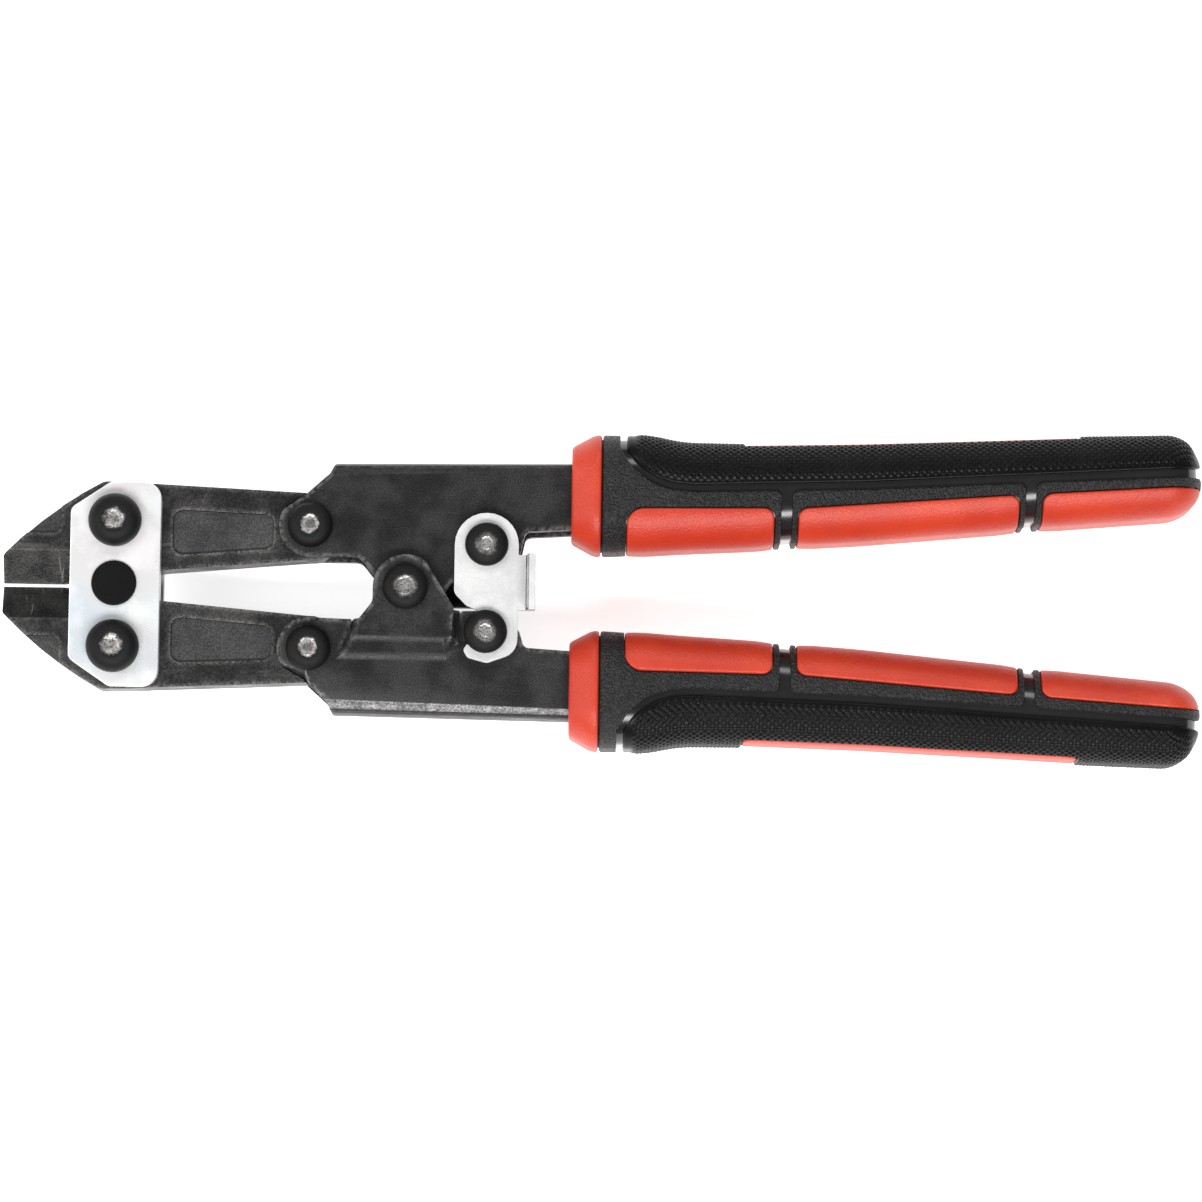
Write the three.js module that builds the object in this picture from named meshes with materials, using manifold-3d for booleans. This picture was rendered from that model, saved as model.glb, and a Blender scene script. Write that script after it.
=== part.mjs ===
// Small bolt cutters with hand grips: two jaws on two side plates, two pressed
// handle frames on a centre pin, a thumb latch and two moulded grips.
// Millimetres. +X runs from the jaws to the grips, +Y across, +Z up from the floor.

import * as THREE from 'three';
import { mergeVertices } from 'three/addons/utils/BufferGeometryUtils.js';
import Module from 'manifold-3d';

const wasm = await Module();
wasm.setup();

// ---- driving dimensions, with the centre pin at x = 0, y = 0 and the mid plane at z = 0

const noseX = -70.8;
const gripEndX = 139.2;
const floorDepth = 10.5;

const gap = 0.3;
const runningGap = 0.12;
const looseGap = 0.3;
const cut = 1;

const jawHalf = 3.5;
const bladeGap = 0.3;
const cheekIn = 3.8;
const sheet = 2;
const cheekOut = cheekIn + sheet;
const earIn = cheekOut + gap;
const earOut = earIn + sheet;
const plateOut = cheekIn + 3;
const latchIn = cheekOut + gap;
const latchOut = latchIn + 1.6;

const jawPin = { x: -51.0, y: 11.05, shank: 2.6, head: 4.65 };
const linkPin = { x: -16.9, y: 10.8, shank: 2.3, head: 3.95 };
const centrePin = { x: 0, y: 0, shank: 2.4, head: 3.95 };
const latchPin = { x: 14.1, y: 7.65, shank: 1.9, head: 3.8 };
const catchNeck = 0.95;

const rearArmRadius = 5.9;
const bevelStart = 6;
const bevelEndX = -58;

const latchRatio = 1.4;
const shutDegrees = -2.4;
const slotClearance = 0.22;

const collarX = 28.8;
const ringX = 34.2;
const tangEndX = 100;
const shellDepth = 1.4;
const gripHalf = 10.5;
const gripCorner = 7;

const roundSegments = 28;
const degree = Math.PI / 180;

// ---- finishes

const finish = (color, roughness, metalness) =>
  () => new THREE.MeshStandardMaterial({ color, roughness, metalness });

const blackOxide = finish(0x3c3b3c, 0.5, 0.8);
const frameGrey = finish(0x4a494b, 0.55, 0.7);
const paleZinc = finish(0xc9cbc9, 0.35, 0.8);
const bareSteel = finish(0x2e2e30, 0.4, 0.8);
const latchZinc = finish(0xe2e2df, 0.4, 0.6);
const springSteel = finish(0x8a8a8c, 0.35, 0.9);
const redRubber = finish(0xd5402b, 0.6, 0);
const blackRubber = finish(0x232325, 0.6, 0);
const blackGloss = finish(0x1a1a1c, 0.25, 0);

// ---- solids

function toSolid(geometry) {
  geometry.deleteAttribute('normal');
  geometry.deleteAttribute('uv');
  const merged = mergeVertices(geometry, 1e-4);
  return new wasm.Manifold(new wasm.Mesh({
    numProp: 3,
    vertProperties: new Float32Array(merged.attributes.position.array),
    triVerts: new Uint32Array(merged.index.array),
  }));
}

function toGeometry(solid) {
  const mesh = solid.getMesh();
  const geometry = new THREE.BufferGeometry();
  geometry.setAttribute('position', new THREE.BufferAttribute(mesh.vertProperties, 3));
  geometry.setIndex(new THREE.BufferAttribute(mesh.triVerts, 1));
  geometry.computeVertexNormals();
  return geometry;
}

// A corner is [x, y], [x, y, fillet] or [x, y, fillet, sagitta of the side that follows].
function outline(corners, side = 1) {
  const points = [];
  corners.forEach(([x, y, fillet = 0, sagitta = 0], i) => {
    const next = corners[(i + 1) % corners.length];
    points.push({ at: new THREE.Vector2(x, y * side), fillet });
    if (sagitta) {
      const steps = 5;
      const along = new THREE.Vector2(next[0] - x, (next[1] - y) * side);
      const across = new THREE.Vector2(-along.y, along.x).normalize();
      for (let k = 1; k < steps; k++) {
        const t = k / steps;
        const bow = 4 * sagitta * side * t * (1 - t);
        const at = points[points.length - k].at.clone();
        at.addScaledVector(along, t).addScaledVector(across, bow);
        points.push({ at, fillet: 0 });
      }
    }
  });
  const ring = [];
  points.forEach(({ at, fillet }, i) => {
    if (!fillet) {
      ring.push(at);
      return;
    }
    const before = points[(i + points.length - 1) % points.length].at.clone().sub(at);
    const after = points[(i + 1) % points.length].at.clone().sub(at);
    const half = Math.abs(before.angleTo(after)) / 2;
    const reach = Math.min(fillet / Math.tan(half), 0.49 * before.length(), 0.49 * after.length());
    const start = at.clone().addScaledVector(before.normalize(), reach);
    const end = at.clone().addScaledVector(after.normalize(), reach);
    const steps = Math.max(2, Math.ceil((Math.PI - 2 * half) / (15 * degree)));
    const radius = reach * Math.tan(half);
    const middle = before.clone().add(after).normalize().multiplyScalar(radius / Math.sin(half)).add(at);
    const first = Math.atan2(start.y - middle.y, start.x - middle.x);
    let turn = Math.atan2(end.y - middle.y, end.x - middle.x) - first;
    turn -= 2 * Math.PI * Math.round(turn / (2 * Math.PI));
    for (let k = 0; k <= steps; k++) {
      const a = first + turn * k / steps;
      ring.push(new THREE.Vector2(middle.x + radius * Math.cos(a), middle.y + radius * Math.sin(a)));
    }
  });
  return ring;
}

function arc(x, y, radius, from, to, steps = 12) {
  return Array.from({ length: steps + 1 }, (_, k) => {
    const a = (from + (to - from) * k / steps) * degree;
    return [x + radius * Math.cos(a), y + radius * Math.sin(a)];
  });
}

function plate(ring, low, high) {
  const geometry = new THREE.ExtrudeGeometry(new THREE.Shape(ring), {
    depth: high - low,
    bevelEnabled: false,
  });
  return toSolid(geometry.translate(0, 0, low));
}

function disc(x, y, radius, low, high) {
  const geometry = new THREE.CylinderGeometry(radius, radius, high - low, roundSegments);
  geometry.rotateX(Math.PI / 2);
  return toSolid(geometry.translate(x, y, (low + high) / 2));
}

function box(x0, x1, y0, y1, z0, z1) {
  const geometry = new THREE.BoxGeometry(x1 - x0, Math.abs(y1 - y0), z1 - z0);
  return toSolid(geometry.translate((x0 + x1) / 2, (y0 + y1) / 2, (z0 + z1) / 2));
}

// A solid of revolution about the Z axis through x, y; the profile holds [radius, z] pairs.
function turned(x, y, profile, segments = 20) {
  const points = profile.map(([r, z]) => new THREE.Vector2(r, z));
  const geometry = new THREE.LatheGeometry(points, segments);
  geometry.rotateX(Math.PI / 2);
  return toSolid(geometry.translate(x, y, 0));
}

// A solid through closed rings of the same number of points, with flat ends.
function loft(rings) {
  const count = rings[0].length;
  const positions = rings.flat().flatMap((p) => [p.x, p.y, p.z]);
  const index = [];
  for (let r = 0; r + 1 < rings.length; r++) {
    for (let k = 0; k < count; k++) {
      const a = r * count + k;
      const b = r * count + (k + 1) % count;
      index.push(a, b, b + count, a, b + count, a + count);
    }
  }
  const last = (rings.length - 1) * count;
  for (let k = 1; k + 1 < count; k++) {
    index.push(0, k + 1, k, last, last + k, last + k + 1);
  }
  const geometry = new THREE.BufferGeometry();
  geometry.setAttribute('position', new THREE.Float32BufferAttribute(positions, 3));
  geometry.setIndex(index);
  const solid = toSolid(geometry);
  if (solid.volume() > 0) {
    return solid;
  }
  for (let k = 0; k < index.length; k += 3) {
    [index[k + 1], index[k + 2]] = [index[k + 2], index[k + 1]];
  }
  const flipped = new THREE.BufferGeometry();
  flipped.setAttribute('position', new THREE.Float32BufferAttribute(positions, 3));
  flipped.setIndex(index);
  return toSolid(flipped);
}

const ringAt = (ring, z) => ring.map((p) => new THREE.Vector3(p.x, p.y, z));

const joined = (solids) => solids.reduce((sum, solid) => sum.add(solid));

// ---- jaws

function jaw(side) {
  const rearX = linkPin.x;
  const rearY = linkPin.y;
  const body = plate(outline([
    [noseX, bladeGap],
    [noseX, 5.1, 0.9, 0.85],
    [-53.3, 18.3, 2.5],
    [-47.5, 18.1],
    [-33, 17.4],
    ...arc(rearX, rearY, rearArmRadius, 90, -94, 14),
    [-42, 2.75],
    [-60, bladeGap],
  ], side), -jawHalf, jawHalf);
  const edges = [1, -1].map((face) => {
    const section = (x) => [
      new THREE.Vector3(x, side * bevelStart, face * jawHalf),
      new THREE.Vector3(x, side * (bladeGap - 0.2), face * 0.35),
      new THREE.Vector3(x, side * (bladeGap - 0.2) - side * cut, face * 0.35),
      new THREE.Vector3(x, side * (bladeGap - 0.2) - side * cut, face * (jawHalf + cut)),
      new THREE.Vector3(x, side * bevelStart, face * (jawHalf + cut)),
    ];
    return loft([section(noseX - cut), section(bevelEndX)]);
  });
  const nosePanel = outline([
    [noseX - cut, 9.05],
    [-60.7, 9.05, 1.6],
    [-60.7, 24],
    [noseX - cut, 24],
  ], side);
  const armPanel = outline([
    [-41.1, 5.4, 1.8],
    [-23.4, 6.8, 1.8],
    [-23.4, 12.8, 1.8],
    [-41.1, 13.5, 1.8],
  ], side);
  const recess = 0.7;
  const cuts = [...edges];
  for (const panel of [nosePanel, armPanel]) {
    cuts.push(plate(panel, jawHalf - recess, jawHalf + cut));
    cuts.push(plate(panel, -jawHalf - cut, recess - jawHalf));
  }
  const freePivot = side > 0 ? looseGap : runningGap;
  cuts.push(disc(jawPin.x, side * jawPin.y, jawPin.shank + freePivot, -9, 9));
  cuts.push(disc(linkPin.x, side * linkPin.y, linkPin.shank + runningGap, -9, 9));
  return cuts.reduce((solid, tool) => solid.subtract(tool), body);
}

// ---- side plates over the jaw pins, front and back

function sidePlate(face) {
  const ring = outline([
    [-51.8, 17.9, 1.6],
    [-58.8, 13.2, 1.6],
    [-58.8, -13.2, 1.6],
    [-51.8, -17.9, 1.6],
    [-43, -17.9, 3],
    [-43, 17.9, 3],
  ]);
  const low = face > 0 ? cheekIn : -plateOut;
  const solid = plate(ring, low, low + plateOut - cheekIn);
  return [1, -1].reduce((sum, side) =>
    sum.subtract(disc(jawPin.x, side * jawPin.y, jawPin.shank + runningGap, -9, 9)), solid);
}

// A small plain dot stands where a maker would put a mark.
function plateDot(face) {
  const low = face > 0 ? plateOut + gap : -plateOut - gap - 0.25;
  return disc(-51, 0, 3.95, low, low + 0.25);
}

// ---- pins

// A riveted pin: domed heads with a shallow dish over a straight shank.
function pin({ x, y, shank, head }, side, top, bottom, rise) {
  const dish = head * 0.42;
  const dome = (z, face) => [
    [head, z],
    [head, z + face * rise * 0.35],
    [head * 0.72, z + face * rise],
    [dish, z + face * rise * 0.7],
  ];
  const front = dome(top, 1);
  const back = dome(bottom, -1);
  const profile = [
    [0, bottom - rise * 0.7],
    ...back.reverse(),
    [shank, bottom],
    [shank, top],
    ...front,
    [0, top + rise * 0.7],
  ];
  return turned(x, side * y, profile);
}

const spacer = turned(0, 0, [
  [centrePin.shank + runningGap, -jawHalf],
  [3.1, -jawHalf],
  [3.1, jawHalf],
  [centrePin.shank + runningGap, jawHalf],
  [centrePin.shank + runningGap, -jawHalf],
]);

// The catch pin's head stands over a slim neck that the latch hooks round.
const catchPin = turned(latchPin.x, -latchPin.y, [
  [0, -cheekOut - gap - 1.3],
  [latchPin.head * 0.7, -cheekOut - gap - 1.3],
  [latchPin.head, -cheekOut - gap - 0.6],
  [latchPin.head, -cheekOut - gap],
  [latchPin.shank, -cheekOut - gap],
  [latchPin.shank, cheekOut],
  [catchNeck, cheekOut],
  [catchNeck, latchOut + gap],
  [latchPin.head, latchOut + gap],
  [latchPin.head, latchOut + gap + 0.7],
  [latchPin.head * 0.86, latchOut + gap + 1.5],
  [latchPin.head * 0.5, latchOut + gap + 2],
  [0, latchOut + gap + 2.1],
]);

// ---- handle frames: pressed channels, open towards each other

const webSlope = 0.026;
const webFace = (x) => 22.25 + webSlope * x;

function channel(inner, side) {
  const outer = plate(outline([
    ...inner,
    [tangEndX, 14.8],
    [tangEndX, webFace(tangEndX) - 1.4],
    [28, webFace(28)],
    [-12.7, webFace(-12), 0.6],
    [-13.6, 20, 0.8],
    [-17.6, 16.4],
  ], side), -cheekOut, cheekOut);
  const hollow = plate(outline([
    [-40, -30],
    [tangEndX + cut, -30],
    [tangEndX + cut, webFace(tangEndX) - 1.4 - sheet],
    [28, webFace(28) - sheet],
    [-40, webFace(-40) - sheet],
  ], side), -cheekIn, cheekIn);
  const bend = sheet * 1.1;
  const envelope = (x, drop) => {
    const top = webFace(x) - drop + 0.4;
    return [
      [-cheekOut - cut, -60],
      [-cheekOut - cut, top - bend - 1],
      [-cheekOut, top - bend],
      [-cheekOut + bend * 0.3, top - bend * 0.3],
      [-cheekOut + bend, top],
      [cheekOut - bend, top],
      [cheekOut - bend * 0.3, top - bend * 0.3],
      [cheekOut, top - bend],
      [cheekOut + cut, top - bend - 1],
      [cheekOut + cut, -60],
    ].map(([z, y]) => new THREE.Vector3(x, side * y, z));
  };
  const rounded = loft([envelope(-45, 0.4), envelope(28, 0.4), envelope(tangEndX + cut, 1.8)]);
  return outer.intersect(rounded).subtract(hollow);
}

const bossArc = arc(linkPin.x, linkPin.y, 5.5, 140, 270, 9);

function upperFrame() {
  const solid = channel([
    ...bossArc,
    [-8.2, 5.35, 1.8],
    [-5.6, 2.2, 1.4],
    ...arc(0, 0, 5.6, 180, 320, 9),
    [7.7, 0.6, 0.5],
    [9.1, 2.3, 0.8],
    [17.2, 2.3, 3],
    [20, 6.5, 1],
    [20.8, 10.2, 1.2],
    [collarX, 10.5],
  ], 1).add(plate(outline([
    [4.5, -2.4],
    [14.2, -2.4, 1],
    [17, 2.6],
    [17, 4],
    [4.5, 4],
  ]), -cheekOut, -cheekIn));
  return [
    disc(0, 0, centrePin.shank + runningGap, -9, 9),
    disc(linkPin.x, linkPin.y, linkPin.shank + runningGap, -9, 9),
    disc(latchPin.x, latchPin.y, latchPin.shank + runningGap, -9, 9),
  ].reduce((sum, hole) => sum.subtract(hole), solid);
}

// The lower frame's lugs step outwards over the upper frame's cheeks at the centre pin.
function lug(face) {
  const earPlate = plate(outline([
    [-8.3, -6],
    [-5.7, -2.6, 1.6],
    ...arc(0, 0, 5.7, 180, 52, 12),
    [8.5, -3.5, 0.8],
    [8.2, -6],
    [8.2, -9],
    [-8.3, -9],
  ]), earIn, earOut);
  const foot = (inset, z, top = 0, rise = inset) => ringAt([
    new THREE.Vector2(-11.1 + inset, -12 + rise),
    new THREE.Vector2(7 - inset * 0.5, -12 + rise),
    new THREE.Vector2(9.5 - inset, -9.8 + rise * 0.5),
    new THREE.Vector2(9.5 - inset, -3.9 + top),
    new THREE.Vector2(-9.2 + inset + top * 0.27, -5.6 + top),
  ], z);
  const shell = loft([foot(0, cheekIn), foot(0, cheekOut), foot(1.2, earOut, 0, 2.8)]);
  const under = loft([foot(0.8, cheekIn - cut, 2), foot(0.8, cheekIn, 2), foot(2.1, earIn, 2)]);
  const sideLug = shell.subtract(under).add(earPlate);
  if (face > 0) {
    return sideLug;
  }
  return sideLug.scale([1, 1, -1]);
}

function lowerFrame() {
  const solid = channel([
    ...bossArc,
    [-9.2, 5.6, 0.4],
    [-11.1, 12],
    [7, 12],
    [9.5, 9.8],
    [9.5, 3.9, 0.7],
    [16.2, 3.9, 3],
    [20, 7.4, 1.2],
    [20.8, 10.2, 1.2],
    [collarX, 10.5],
  ], -1);
  const whole = joined([solid, lug(1), lug(-1)]);
  return [
    disc(0, 0, centrePin.shank + runningGap, -9, 9),
    disc(linkPin.x, -linkPin.y, linkPin.shank + runningGap, -9, 9),
    disc(latchPin.x, -latchPin.y, latchPin.shank + runningGap, -9, 9),
  ].reduce((sum, hole) => sum.subtract(hole), whole);
}

// ---- latch

// Where the catch pin stands, seen from the latch, as the handles open by an angle.
function catchPath(angle) {
  const hinge = new THREE.Vector2(latchPin.x, latchPin.y);
  const origin = new THREE.Vector2(0, 0);
  const at = new THREE.Vector2(latchPin.x, -latchPin.y);
  at.rotateAround(origin, -angle * degree);
  return at.rotateAround(hinge, -angle * latchRatio * degree);
}

function latchSlot() {
  const radius = catchNeck + slotClearance;
  const from = shutDegrees - 0.6;
  const to = 16;
  const steps = 12;
  const left = [];
  const right = [];
  for (let k = 0; k <= steps; k++) {
    const angle = from + (to - from) * k / steps;
    const at = catchPath(angle);
    const along = catchPath(angle + 0.1).sub(at).normalize();
    left.push(new THREE.Vector2(at.x - along.y * radius, at.y + along.x * radius));
    right.unshift(new THREE.Vector2(at.x + along.y * radius, at.y - along.x * radius));
  }
  const start = catchPath(from);
  const band = plate([...left, ...right], latchIn - cut, latchOut + cut);
  return band.add(disc(start.x, start.y, radius, latchIn - cut, latchOut + cut));
}

function latch() {
  const { x, y } = latchPin;
  const blank = plate(outline([
    [8.5, y],
    [8.5, -0.9, 1.5],
    [10.6, -3.0, 0.6],
    [13.2, -4.2, 0.3],
    [13.2, -7.4],
    [11.2, -9.4, 0.5],
    [10.2, -10.9, 0.8],
    [11.0, -12.2, 1.2],
    [14.4, -13.1, 1.5],
    [19.7, -11.2, 3.2],
    [19.7, -3.8],
    [21.5, -3.8],
    [21.5, 5.9],
    [19.7, 5.9],
    ...arc(x, y, 5.6, 0, 180, 14),
  ]), latchIn, latchOut);
  const tab = box(21, 22.7, -3.8, 5.9, latchIn, 11);
  return blank.add(tab)
    .subtract(latchSlot())
    .subtract(disc(x, y, latchPin.shank + runningGap, 0, 12));
}

// ---- opening spring: coils round the spacer, with one arm against each frame's web

function wire(points, radius) {
  const path = new THREE.CatmullRomCurve3(points, false, 'centripetal');
  const section = new THREE.Shape(arc(0, 0, radius, 0, 300, 5).map((p) => new THREE.Vector2(...p)));
  return toSolid(new THREE.ExtrudeGeometry(section, {
    steps: Math.round(points.length * 1.15),
    extrudePath: path,
  }));
}

const coilRadius = 4.1;
const wireRadius = 0.55;

function springCoil() {
  const points = [];
  const turns = 3.25;
  for (let k = 0; k <= turns * 12; k++) {
    const a = (-90 + 30 * k) * degree;
    const z = -2.6 + 4.1 * k / (turns * 12);
    points.push(new THREE.Vector3(coilRadius * Math.cos(a), coilRadius * Math.sin(a), z));
  }
  const arm = [[12, -16.2], [9, -13.4], [5, -8.6]]
    .map(([x, y]) => new THREE.Vector3(x, y, -2.6));
  points.shift();
  return wire([...arm, ...points], wireRadius);
}

function springArm() {
  const points = [];
  for (let k = 0; k <= 4; k++) {
    const a = (200 - 30 * k) * degree;
    points.push(new THREE.Vector3(coilRadius * Math.cos(a), coilRadius * Math.sin(a), 2.75));
  }
  points.push(new THREE.Vector3(6, 8.2, 2.75));
  points.push(new THREE.Vector3(13, 16.4, 2.75));
  return wire(points, wireRadius);
}

// ---- grips

// Half widths across the tool along the grip, as [x, outer, inner].
const gripLines = [
  [28.8, 27.65, 6.75], [34, 27.65, 6.85], [42.5, 27.55, 7.3], [48, 26.3, 7.7], [60, 26.2, 8.35],
  [80, 26.75, 9.7], [100, 27.6, 11.6], [118, 28.4, 13.25], [134, 28.8, 14.7], [141, 28.85, 15.3],
];
const endRound = 6.2;

function gripEdges(x) {
  const i = Math.max(1, gripLines.findIndex((line) => line[0] >= x));
  const [a, b] = [gripLines[i - 1], gripLines[i]];
  const t = (x - a[0]) / (b[0] - a[0]);
  const outer = a[1] + (b[1] - a[1]) * t;
  const inner = a[2] + (b[2] - a[2]) * t;
  const into = Math.max(0, (x - (gripEndX - endRound)) / endRound);
  const round = 1 - Math.sqrt(Math.max(0, 1 - into * into));
  return { outer: outer - 7 * round, inner: inner + 5 * round, half: gripHalf - 6 * round };
}

function gripRing(x, inset, side) {
  const { outer, inner, half } = gripEdges(x);
  const high = outer - inset;
  const low = inner + inset;
  const deep = half - inset;
  const corner = Math.min(gripCorner - inset, (high - low) / 2 - 0.6, deep - 0.6);
  const ring = [];
  const corners = [[high, deep, 0], [low, deep, 90], [low, -deep, 180], [high, -deep, 270]];
  for (const [y, z, from] of corners) {
    const cy = y === high ? y - corner : y + corner;
    const cz = z > 0 ? z - corner : z + corner;
    for (let k = 0; k <= 4; k++) {
      const a = (from + 22.5 * k) * degree;
      ring.push(new THREE.Vector3(x, side * (cy + corner * Math.cos(a)), cz + corner * Math.sin(a)));
    }
  }
  return ring;
}

function gripBody(side, from, to, inset) {
  const middle = inset ? [48, 70, 100] : gripLines.map((line) => line[0]).filter((x) => x < 130);
  const stations = [from, ...middle.filter((x) => x > from + 1), 133, 136, 138, to];
  return loft(stations.filter((x) => x <= to).map((x) => gripRing(x, inset, side)));
}

// On each face a groove parts the palm shell from the finger frames: [x, palm edge, frame edge].
const grooveLines = [
  [38.3, 34, 34], [39, 24.8, 24.6], [41, 21.9, 20.6], [43.5, 20.1, 18.7], [47, 19, 17.5],
  [52, 18.6, 17.2], [87, 19.6, 18.2], [114, 21.2, 19.5], [143, 23.4, 21.6],
];
const notchX = 37.2;
const cutDepth = gripHalf + cut;

const framePart = [[ringX, 65.5], [67.3, 108.3], [110, gripEndX + 4]];
const padSpans = [[38.5, 64.3], [68.5, 107.1], [111.2, gripEndX + 4]];
const padLine = [[0, 14.1], [64, 14.5], [70, 14.6], [104, 17.2], [134, 19.2], [150, 19.6]];

function padTop(x) {
  const i = padLine.findIndex((point) => point[0] > x);
  const [a, b] = [padLine[i - 1], padLine[i]];
  return a[1] + (b[1] - a[1]) * (x - a[0]) / (b[0] - a[0]);
}

function palmRegion(side) {
  const edge = grooveLines.map(([x, y]) => [x, y]);
  return plate(outline([...edge, [gripEndX + 4, 40], [38.3, 40]], side), -cutDepth, cutDepth);
}

// One black frame round each finger pad; the first also rings the front of the grip.
function frameRegion(side, i) {
  const [from, to] = framePart[i];
  const edge = grooveLines.map(([x, , y]) => [x, y]).filter(([x]) => x > from + 2 && x < to - 2);
  const edgeAt = (x) => {
    const k = grooveLines.findIndex((line) => line[0] > x);
    const [a, b] = [grooveLines[k - 1], grooveLines[k]];
    return a[2] + (b[2] - a[2]) * (x - a[0]) / (b[0] - a[0]);
  };
  const start = i === 0
    ? [[from - 1, -5], [from - 1, 40], [notchX, 40], [notchX, 25.5, 0.8]]
    : [[from, -5], [from, edgeAt(from), 1.2]];
  const inner = edge.filter(([x]) => i > 0 || x > 40);
  const end = i === 2 ? [[to, 21.5]] : [[to, edgeAt(to), 1.2]];
  return plate(outline([...start, ...inner, ...end, [to, -5]], side), -cutDepth, cutDepth);
}

function padRegion(side, i, grow) {
  const [from, to] = padSpans[i];
  return plate(outline([
    [from - grow, -5],
    [from - grow, padTop(from) + grow, i === 0 ? 3.2 : 1.8],
    [to + grow, padTop(to) + grow, i === 2 ? 0.1 : 1.8],
    [to + grow, -5],
  ], side), -cutDepth, cutDepth);
}

const inlayRegion = (side, grow) =>
  plate(outline([[59 - grow, 24.9 - grow, 2], [118 + grow, 26.9 - grow, 2],
    [118 + grow, 40], [59 - grow, 40]], side), -6 - grow, 6 + grow);

function gripPieces(side) {
  const skin = gripBody(side, ringX, gripEndX, 0);
  const shell = skin.subtract(gripBody(side, ringX - cut, gripEndX - shellDepth + gap, shellDepth));
  const tang = plate(outline([
    [0, 10.2 - 0.3],
    [collarX, 10.5 - 0.3],
    [tangEndX + gap, 14.4],
    [tangEndX + gap, webFace(tangEndX) - 1],
    [28, webFace(28) + gap],
    [0, webFace(0) + gap],
  ], side), -cheekOut - gap, cheekOut + gap);
  const collarRings = [[collarX, 2.3], [collarX + 3.9, 0.25], [collarX + 4.5, 0], [ringX - gap, 0]]
    .map(([x, inset]) => gripRing(x, inset, side));
  const pieces = {
    collar: loft(collarRings).subtract(tang),
    core: gripBody(side, ringX, gripEndX - shellDepth, shellDepth + gap).subtract(tang),
    palm_shell: shell.intersect(palmRegion(side)).subtract(inlayRegion(side, gap)),
    palm_inlay: shell.intersect(inlayRegion(side, 0)),
  };
  for (let i = 0; i < padSpans.length; i++) {
    pieces[`finger_frame_${i + 1}`] = shell.intersect(frameRegion(side, i))
      .subtract(padRegion(side, i, gap));
    pieces[`finger_pad_${i + 1}`] = shell.intersect(padRegion(side, i, 0));
  }
  return pieces;
}

// ---- the tool

const tool = new THREE.Group();
tool.position.set(-(noseX + gripEndX) / 2, 0, floorDepth);

function place(parent, name, solid, material) {
  const mesh = new THREE.Mesh(toGeometry(solid), material());
  mesh.name = name;
  parent.add(mesh);
}

const head = new THREE.Group();
place(head, 'side_plate_front', sidePlate(1), paleZinc);
place(head, 'side_plate_back', sidePlate(-1), paleZinc);
place(head, 'plate_dot_front', plateDot(1), blackGloss);
place(head, 'plate_dot_back', plateDot(-1), blackGloss);
place(head, 'jaw_pin_upper', pin(jawPin, 1, plateOut + gap, -plateOut - gap, 3.4), bareSteel);
place(head, 'jaw_pin_lower', pin(jawPin, -1, plateOut + gap, -plateOut - gap, 3.4), bareSteel);

const jaws = new THREE.Group();
place(jaws, 'jaw_upper', jaw(1), blackOxide);
place(jaws, 'jaw_lower', jaw(-1), blackOxide);

const linkTop = cheekOut + gap;
const upperHandle = new THREE.Group();
place(upperHandle, 'handle_frame_upper', upperFrame(), frameGrey);
place(upperHandle, 'link_pin_upper', pin(linkPin, 1, linkTop, -linkTop, 2.2), bareSteel);
place(upperHandle, 'latch_pin', pin(latchPin, 1, latchOut + gap, -linkTop, 2.1), bareSteel);
place(upperHandle, 'spring_arm', springArm(), springSteel);

const lowerHandle = new THREE.Group();
place(lowerHandle, 'handle_frame_lower', lowerFrame(), frameGrey);
place(lowerHandle, 'link_pin_lower', pin(linkPin, -1, linkTop, -linkTop, 2.2), bareSteel);
place(lowerHandle, 'centre_pin', pin(centrePin, 1, earOut + gap, -earOut - gap, 1.9), bareSteel);
place(lowerHandle, 'centre_spacer', spacer, springSteel);
place(lowerHandle, 'spring_coil', springCoil(), springSteel);
place(lowerHandle, 'catch_pin', catchPin, bareSteel);

const gripFinish = {
  collar: redRubber,
  core: blackGloss,
  palm_shell: blackRubber,
  palm_inlay: redRubber,
  finger_frame_1: blackRubber,
  finger_frame_2: blackRubber,
  finger_frame_3: blackRubber,
  finger_pad_1: redRubber,
  finger_pad_2: redRubber,
  finger_pad_3: redRubber,
};

for (const [sideName, side, handle] of [['upper', 1, upperHandle], ['lower', -1, lowerHandle]]) {
  for (const [piece, solid] of Object.entries(gripPieces(side))) {
    place(handle, `grip_${sideName}_${piece}`, solid, gripFinish[piece]);
  }
}

const latchGroup = new THREE.Group();
place(latchGroup, 'latch', latch(), latchZinc);

upperHandle.add(latchGroup);
tool.add(head, jaws, upperHandle, lowerHandle);

const group = new THREE.Group();
group.add(tool);

export default group;
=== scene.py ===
# Small bolt cutters with two jaws, pressed handle frames, a thumb latch and moulded grips.
# Lengths in this script are in mm from the centre pin, with z = 0 at the mid plane.
import math
import bpy
import bmesh
import numpy as np
from mathutils import Matrix, Vector


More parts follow.
